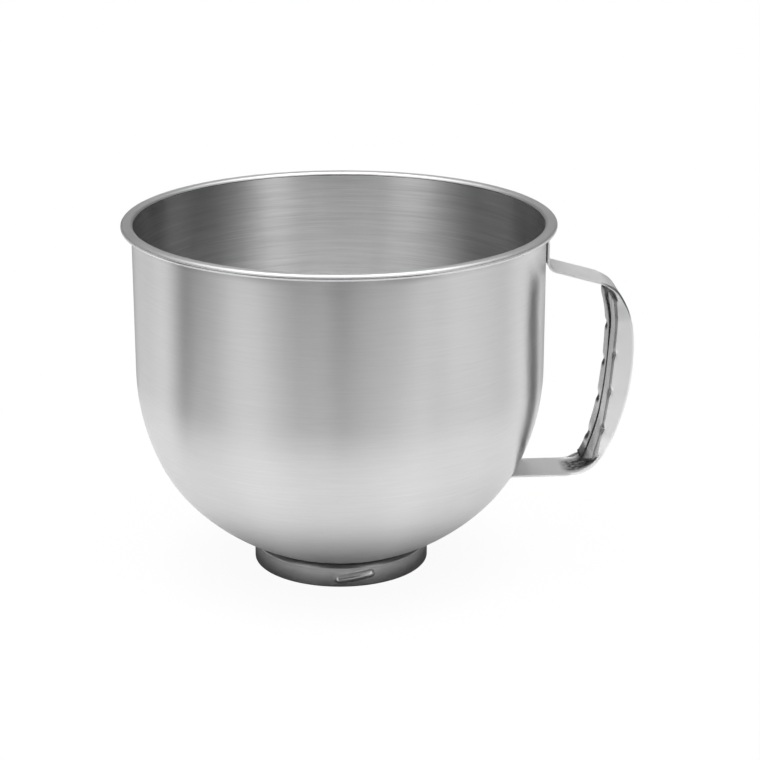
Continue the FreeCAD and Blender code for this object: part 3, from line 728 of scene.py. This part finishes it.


# %% [markdown]
# The bowl has four finishes. Outside it is satin, brushed with a fine belt. Inside, the marks of the
# spinning lathe and of use are longer and plainer. The rim is buffed on top, and the lower half of its
# curl is painted dark, as painted shade and a painted dark reflection. They and the ring's differ in a
# few numbers, so one function makes them all. Two bands are painted darker as painted shade: the wall
# just under the rim, in the curl's shadow, and the top of the ring, where it meets the bowl.

# %% Brushed steel
NOISE_LOW = 0.3
NOISE_HIGH = 0.7
AXIS_GAP = 0.5
# Painted shade: the ring is painted darker from 8.6 to 11 mm high, for the shade where it meets the bowl.
PAINTED_JOINT_SHADE = (8.6, 11.0, 0.3)
# Painted shade: the outside wall is painted darker from 177 to 182.2 mm high, for the curl's shadow just
# under the rim.
PAINTED_SHADE_UNDER_RIM = (177.0, 182.2, 0.6)


def turned_scratches(tree, line_mm, streak):
    """Noise stretched round the axis: lines so many millimetres apart, and about 2 pi streak of them in
    a turn. The vector is the direction times streak and the radius over the line's width, and the fourth
    number is the height over it."""
    x, y, z = split(tree, coordinates(tree, "Object"))
    square = math_node(tree, "ADD", math_node(tree, "MULTIPLY", x, x), math_node(tree, "MULTIPLY", y, y))
    radius = math_node(tree, "MAXIMUM", math_node(tree, "SQRT", square), AXIS_GAP * MM)
    place = tree.nodes.new("ShaderNodeCombineXYZ")
    for value, socket in zip((x, y), place.inputs):
        way = math_node(tree, "DIVIDE", value, radius)
        tree.links.new(math_node(tree, "MULTIPLY", way, streak), socket)
    tree.links.new(math_node(tree, "DIVIDE", radius, line_mm * MM), place.inputs[2])
    return node(tree, "ShaderNodeTexNoise", noise_dimensions="4D", vector=place.outputs[0],
                w=math_node(tree, "DIVIDE", z, line_mm * MM), scale=1.0, detail=2.0,
                roughness=0.6).outputs[0]


def varied(tree, noise, middle, share):
    """A noise moved to the range from so much of the middle value below it to as much above it."""
    return spread(tree, noise, NOISE_LOW, NOISE_HIGH, middle * (1 - share), middle * (1 + share))


def brushed_steel(name, grey, roughness, anisotropy, fine, coarse, contrast, uneven, depth_mm, shade_band=None):
    """Satin steel brushed round the axis. Fine and coarse scratches vary its colour by the share contrast
    and its roughness by the share uneven, and the coarse ones give it relief. Painted shade: from the
    first height of the band to the second, in millimetres, the colour falls to the third number's share."""
    material, tree, shader = new_metal(name, anisotropy, direction_type="RADIAL", axis="Z")
    thin = turned_scratches(tree, *fine)
    wide = turned_scratches(tree, *coarse)
    both = math_node(tree, "MULTIPLY", math_node(tree, "ADD", thin, wide), 0.5)
    tree.links.new(varied(tree, both, roughness, uneven), shader.inputs["Roughness"])
    tone = varied(tree, both, grey, contrast)
    if shade_band:
        height = split(tree, coordinates(tree, "Object"))[2]
        # Painted shade: the colour falls across a band of heights.
        painted_shade = spread(tree, height, shade_band[0] * MM, shade_band[1] * MM, 1.0, shade_band[2])
        tone = math_node(tree, "MULTIPLY", tone, painted_shade)
    colour = node(tree, "ShaderNodeCombineColor")
    for socket in colour.inputs[:3]:
        tree.links.new(tone, socket)
    tree.links.new(colour.outputs[0], shader.inputs["Base Color"])
    tree.links.new(bump(tree, wide, depth_mm), shader.inputs["Normal"])
    return material


outside_steel = brushed_steel("satin_outside", 0.74, 0.30, 1.0, fine=(0.25, 9.0), coarse=(1.1, 4.0),
                              contrast=0.04, uneven=0.0, depth_mm=0.003, shade_band=PAINTED_SHADE_UNDER_RIM)
inside_steel = brushed_steel("spun_inside", 0.82, 0.33, 1.0, fine=(0.4, 4.0), coarse=(1.8, 2.0),
                             contrast=0.14, uneven=0.18, depth_mm=0.012)
rim_steel = brushed_steel("buffed_rim", 0.93, 0.50, 0.2, fine=(0.3, 12.0), coarse=(2.0, 5.0),
                          contrast=0.03, uneven=0.05, depth_mm=0.002)
# Painted shade and painted dark reflection: the lower half of the curl is a dark copy of the rim's steel.
curl_steel = brushed_steel("curl_edge", 0.40, 0.20, 0.3, fine=(0.3, 12.0), coarse=(2.0, 5.0),
                           contrast=0.03, uneven=0.05, depth_mm=0.002)
ring_steel = brushed_steel("dull_ring", 0.80, 0.30, 0.5, fine=(0.3, 7.0), coarse=(2.5, 9.0),
                           contrast=0.12, uneven=0.08, depth_mm=0.003, shade_band=PAINTED_JOINT_SHADE)
bowl_steels = (outside_steel, inside_steel, rim_steel, curl_steel)
print("steels:", [steel.name for steel in (*bowl_steels, ring_steel)])

# %% [markdown]
# A face's finish follows from its place: the rows of the grid past the curl's cut edge are the inside,
# and the rim and its curl begin at heights of their own.

# %% Finishes on the bowl and ring
RIM_BAND = 2.0
CURL_EDGE = 1.5
for steel in bowl_steels:
    bowl.data.materials.append(steel)
ring.data.materials.append(ring_steel)
centres = np.zeros(len(bowl.data.polygons) * 3)
bowl.data.polygons.foreach_get("center", centres)
below_top = RIM_HEIGHT - centres[2::3] / MM
wall_rows = np.repeat(np.arange(all_rows - 1), BOWL_TURNS)
face_row = np.concatenate([wall_rows, np.zeros(BOWL_TURNS), np.full(BOWL_TURNS, all_rows)])
in_rim = below_top < RIM_BAND
# The curl's lower half gets the dark steel, as painted shade.
in_curl = in_rim & (below_top > CURL_EDGE)
finish = np.select([in_curl, in_rim, face_row >= outside_rows], [3, 2, 1], 0)
bowl.data.polygons.foreach_set("material_index", finish.astype(np.int32))
print("faces outside, inside, rim, curl:", [int((finish == i).sum()) for i in range(len(bowl_steels))])

# %% [markdown]
# The handle is brighter and more even than the bowl: its strap was tumbled to a fine satin, which spreads
# the light to all sides. It has faint lines along the strap and soft waves from the folding press, both
# read from the piece's own UV map, which is the flat blank. The rolled edges get a dark copy of the
# strap's steel: painted shade for the shade inside the grip. The heel has a blotchy patch of painted
# shade, and the upper bend a thin line of painted shade along both folds: soft rectangles on the blank,
# so that they follow the strap wherever it bends.

# %% Satin strap
# Painted shade: a dark blotchy patch on the heel's upward faces, for the grip's shadow and dark
# reflection on the strap.
HEEL_PAINTED_SHADE = (162.0, 5.5, 0.0, 5.5, 5.0)
# Painted shade: a thin dark line along both folds of the upper bend, for the shade in the crease.
CREASE_PAINTED_SHADE = (56.0, 9.0, 13.0, 0.6, 0.6)
HEEL_SHADE_GREY = 0.10
CREASE_SHADE_GREY = 0.25
END_FADE = 5.0
FACES_UP = (0.0, 0.2)
BLOTCH_SIZE = 2.5
BLOTCH_RANGE = (0.35, 0.60, 0.5, 1.0)
LINE_LENGTH = 14.0
LINE_WIDTH = 0.35
LINE_DEPTH = 0.0015
LINE_DULLNESS = (0.75, 1.3)
STRAP_ANISOTROPY = 0.3
WAVE_SIZE = 7.0
WAVE_DEPTH = 0.12


def soft_box(tree, along, across, patch):
    """1 inside a rectangle of the flat blank and 0 well outside it: the product of a share for each
    direction, which falls from 1 at the rectangle's half size to 0 one fade further out. The patch is
    its place along the strap, half its length, its distance from the middle line, half its width and
    its fade across the strap."""
    place, half_length, distance, half_width, fade = (size * MM for size in patch)
    shares = []
    for value, middle, half, edge in (
            (along, place, half_length, END_FADE * MM),
            (math_node(tree, "ABSOLUTE", across), distance, half_width, fade)):
        off = math_node(tree, "ABSOLUTE", math_node(tree, "SUBTRACT", value, middle))
        shares.append(spread(tree, off, half, half + edge, 1.0, 0.0))
    return math_node(tree, "MULTIPLY", *shares)


def satin_strap(name, grey, roughness):
    """Satin steel with faint lines along the strap, soft waves left by the folding press, a thin line of
    painted shade along the folds, and on faces that point up a blotchy patch of painted shade."""
    material, tree, shader = new_metal(name, STRAP_ANISOTROPY, direction_type="UV_MAP",
                                       uv_map="strap")
    blank = node(tree, "ShaderNodeUVMap", uv_map="strap").outputs[0]
    along, across = split(tree, blank)[:2]
    upward = spread(tree, split(tree, coordinates(tree, "Normal"))[2], *FACES_UP, 0.0, 1.0)
    blotches = node(tree, "ShaderNodeTexNoise", vector=blank, scale=1 / (BLOTCH_SIZE * MM), detail=3.0)
    # Painted shade on the heel, only on faces that point up.
    heel_shade = math_node(tree, "MULTIPLY", soft_box(tree, along, across, HEEL_PAINTED_SHADE), upward)
    heel_shade = math_node(tree, "MULTIPLY", heel_shade, spread(tree, blotches.outputs[0], *BLOTCH_RANGE))
    # Painted shade along the folds of the upper bend.
    colour = blend(tree, soft_box(tree, along, across, CREASE_PAINTED_SHADE), grey, CREASE_SHADE_GREY)
    tree.links.new(blend(tree, heel_shade, colour, HEEL_SHADE_GREY), shader.inputs["Base Color"])

    stretch = node(tree, "ShaderNodeMapping", vector=blank,
                   scale=(1 / (LINE_LENGTH * MM), 1 / (LINE_WIDTH * MM), 1.0))
    lines = node(tree, "ShaderNodeTexNoise", vector=stretch.outputs[0], scale=1.0, detail=2.0).outputs[0]
    waves = node(tree, "ShaderNodeTexNoise", vector=blank, scale=1 / (WAVE_SIZE * MM), detail=1.0)
    dullness = (roughness * share for share in LINE_DULLNESS)
    tree.links.new(spread(tree, lines, NOISE_LOW, NOISE_HIGH, *dullness), shader.inputs["Roughness"])
    scratched = bump(tree, lines, LINE_DEPTH)
    waved = bump(tree, waves.outputs[0], WAVE_DEPTH, normal=scratched)
    tree.links.new(waved, shader.inputs["Normal"])
    return material


# The second steel is a dark copy of the first, painted shade for the rolled edges.
for steel in (satin_strap("satin_strap", 0.95, 0.60), satin_strap("rolled_edges_painted_shade", 0.42, 0.30)):
    handle.data.materials.append(steel)
print("handle steels:", [steel.name for steel in handle.data.materials])

# %% [markdown]
# Each new piece takes the place of the imported solid it was made after, and rides on the one body.

# %% Pieces and nodes
for piece, cad_node, cad_slot in ((bowl, "bowl", "bowl_steel"), (ring, "base_ring", "ring_steel"),
                                  (handle, "handle", "handle_steel")):
    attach(piece, "root")
    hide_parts(cad_node)
    print(piece.name, "replaces", cad_node)

# %% [markdown]
# The studio. Polished metal is a picture of its surroundings, so the light is a plan of the room: soft
# lamps at both sides, a wide one above, and a dim gap between them where the camera stands. That gap
# gives the wall of the bowl its dark band. All of it is in the world's shader, as grey by compass
# direction at three heights and a ceiling. The bowl stands on a round table of white paper, with a
# painted shadow, a dark patch of its colour, under the foot, and painted light that stands for the
# lamps on the paper beyond it. Beyond the table's edge the wall reflects the room below the horizon.

# %% The room
ROOM = [
    # compass direction (0 is where the camera stands), below the horizon, at eye level, high up
    (-180, 0.37, 0.04, 0.02),
    (-156, 0.95, 0.03, 0.02),
    (-138, 1.04, 0.15, 0.04),
    (-126, 1.23, 0.02, 0.17),
    (-117, 1.34, 0.02, 0.42),
    (-111, 1.13, 0.03, 0.56),
    (-105, 0.61, 0.17, 0.65),
    (-99, 0.19, 0.21, 0.61),
    (-90, 0.55, 0.07, 0.41),
    (-78, 0.77, 0.02, 0.40),
    (-66, 1.03, 0.02, 1.30),
    (-54, 0.60, 0.64, 1.81),
    (-44, 0.35, 0.73, 1.29),
    (-36, 0.36, 0.47, 0.67),
    (-26, 0.49, 0.12, 0.02),
    (-14, 0.64, 0.02, 0.02),
    (-2, 0.37, 0.02, 0.02),
    (8, 0.60, 0.02, 0.02),
    (18, 0.68, 0.04, 0.25),
    (28, 0.35, 0.47, 1.15),
    (38, 0.22, 0.84, 1.97),
    (50, 0.93, 0.13, 1.84),
    (64, 1.41, 0.02, 0.02),
    (80, 1.32, 0.02, 0.02),
    (100, 1.08, 0.02, 0.47),
    (126, 1.59, 0.02, 0.04),
    (150, 0.81, 0.13, 0.02),
    (180, 0.37, 0.04, 0.02),
]
CEILING = 2.2
TO_EYE_LEVEL = (-0.24, -0.03)
TO_HIGH = (0.33, 0.52)
TO_CEILING = (0.74, 0.90)
WHITE = (1.0, 1.0, 1.0, 1.0)


def compass_ramp(tree, share, column):
    """A colour ramp over the compass, from one column of the room's plan."""
    ramp = node(tree, "ShaderNodeValToRGB")
    stops = ramp.color_ramp.elements
    for row in ROOM[1:-1]:
        stops.new((row[0] + 180) / 360)
    for stop, row in zip(stops, ROOM):
        stop.position = (row[0] + 180) / 360
        stop.color = (row[column], row[column], row[column], 1.0)
    tree.links.new(share, ramp.inputs[0])
    return ramp.outputs[0]


def two_faced(tree, true, shown, share):
    """A mix of two shaders: the true one lights the piece, and the camera sees the other by its share."""
    seen = node(tree, "ShaderNodeLightPath").outputs["Is Camera Ray"]
    both = node(tree, "ShaderNodeMixShader")
    tree.links.new(math_node(tree, "MULTIPLY", seen, share), both.inputs[0])
    tree.links.new(true.outputs[0], both.inputs[1])
    tree.links.new(shown.outputs[0], both.inputs[2])
    return both.outputs[0]


def make_room():
    """World shader: the room's plan for the light, and plain white paper for the camera. The compass
    direction is the arc tangent of x over minus y, and the height is that of a unit vector."""
    world = bpy.data.worlds.new("studio")
    bpy.context.scene.world = world
    world.use_nodes = True
    tree = world.node_tree
    tree.nodes.clear()
    x, y, z = split(tree, coordinates(tree, "Generated"))
    compass = math_node(tree, "ARCTAN2", x, math_node(tree, "MULTIPLY", y, -1.0))
    share = math_node(tree, "ADD", math_node(tree, "DIVIDE", compass, 2 * math.pi), 0.5)
    light, level, high = (compass_ramp(tree, share, column) for column in (1, 2, 3))
    for heights, upper in ((TO_EYE_LEVEL, level), (TO_HIGH, high), (TO_CEILING, CEILING)):
        light = blend(tree, spread(tree, z, *heights, 0.0, 1.0), light, upper)
    room = node(tree, "ShaderNodeBackground", color=light, strength=1.0)
    paper = node(tree, "ShaderNodeBackground", color=WHITE, strength=1.0)
    out = tree.nodes.new("ShaderNodeOutputWorld")
    tree.links.new(two_faced(tree, room, paper, 1.0), out.inputs[0])


make_room()
print("room of", len(ROOM), "directions")

# %% The table
TABLE_RADIUS = 320.0
TABLE_SIDES = 128
# Painted light: the paper glows faintly beyond the painted shadow, for lamp light falling on it.
PAINTED_TABLE_LIGHT = 0.32
# Painted shadow: the paper is painted dark grey under the foot, where the bowl's shadow falls.
PAINTED_SHADOW_RADIUS = 52.0
PAINTED_SHADOW_FADE = 50.0
PAPER_GREY = 0.85
PAINTED_SHADOW_GREY = 0.20
SHOWN_WHITE = 0.95


def make_table():
    """A disc of white paper with painted light, a faint emission beyond the foot, and a painted shadow, a
    dark patch under the foot. To the camera it is plain white with a trace of the bowl's shadow."""
    rim = turned_points(TABLE_RADIUS, 0.0, full_turn(TABLE_SIDES))
    table = make_piece("floor", rim, [list(range(TABLE_SIDES))])
    material = bpy.data.materials.new("paper")
    material.use_nodes = True
    tree = material.node_tree
    tree.nodes.clear()
    place = coordinates(tree, "Object")
    away = node(tree, "ShaderNodeVectorMath", operation="LENGTH", vector=place).outputs["Value"]
    # Share outside the painted shadow under the foot.
    off_painted_shadow = spread(tree, away, PAINTED_SHADOW_RADIUS * MM, (PAINTED_SHADOW_RADIUS + PAINTED_SHADOW_FADE) * MM, 0.0, 1.0)
    sheet = node(tree, "ShaderNodeBsdfDiffuse", color=blend(tree, off_painted_shadow, PAINTED_SHADOW_GREY, PAPER_GREY))
    # Painted light on the paper, cut away under the foot.
    painted_glow = node(tree, "ShaderNodeEmission", color=blend(tree, off_painted_shadow, 0.0, 1.0), strength=PAINTED_TABLE_LIGHT)
    paper = node(tree, "ShaderNodeAddShader")
    tree.links.new(sheet.outputs[0], paper.inputs[0])
    tree.links.new(painted_glow.outputs[0], paper.inputs[1])
    white = node(tree, "ShaderNodeEmission", color=WHITE, strength=1.0)
    out = tree.nodes.new("ShaderNodeOutputMaterial")
    tree.links.new(two_faced(tree, paper, white, SHOWN_WHITE), out.inputs[0])
    table.data.materials.append(material)


make_table()
bpy.context.scene.view_settings.view_transform = "Standard"
print("table", 2 * TABLE_RADIUS, "mm across")

# %% [markdown]
# The camera stands a little over a metre away and looks down at the bowl. In the photo the handle points
# three degrees away from the picture's plane. The part stays in its own frame, so the camera's place is
# turned about it instead.

# %% Camera
CAMERA_DISTANCE = 1101.0
CAMERA_HEIGHT = 457.4
HANDLE_TURN = 3.0
LOOK_ASIDE = 1.08
LOOK_DOWN = 18.11
LENS = 105.16
SENSOR_WIDTH = 36.0

camera_data = bpy.data.cameras.new("camera")
camera_data.lens = LENS
camera_data.sensor_width = SENSOR_WIDTH
camera = bpy.data.objects.new("camera", camera_data)
bpy.context.scene.collection.objects.link(camera)
turn = math.radians(HANDLE_TURN)
camera.location = Vector((-math.sin(turn), -math.cos(turn), 0)) * CAMERA_DISTANCE * MM
camera.location.z = CAMERA_HEIGHT * MM
camera.rotation_euler = (math.radians(90 - LOOK_DOWN), 0.0, -math.radians(LOOK_ASIDE + HANDLE_TURN))
bpy.context.scene.camera = camera
print("camera at", [round(value / MM) for value in camera.location])
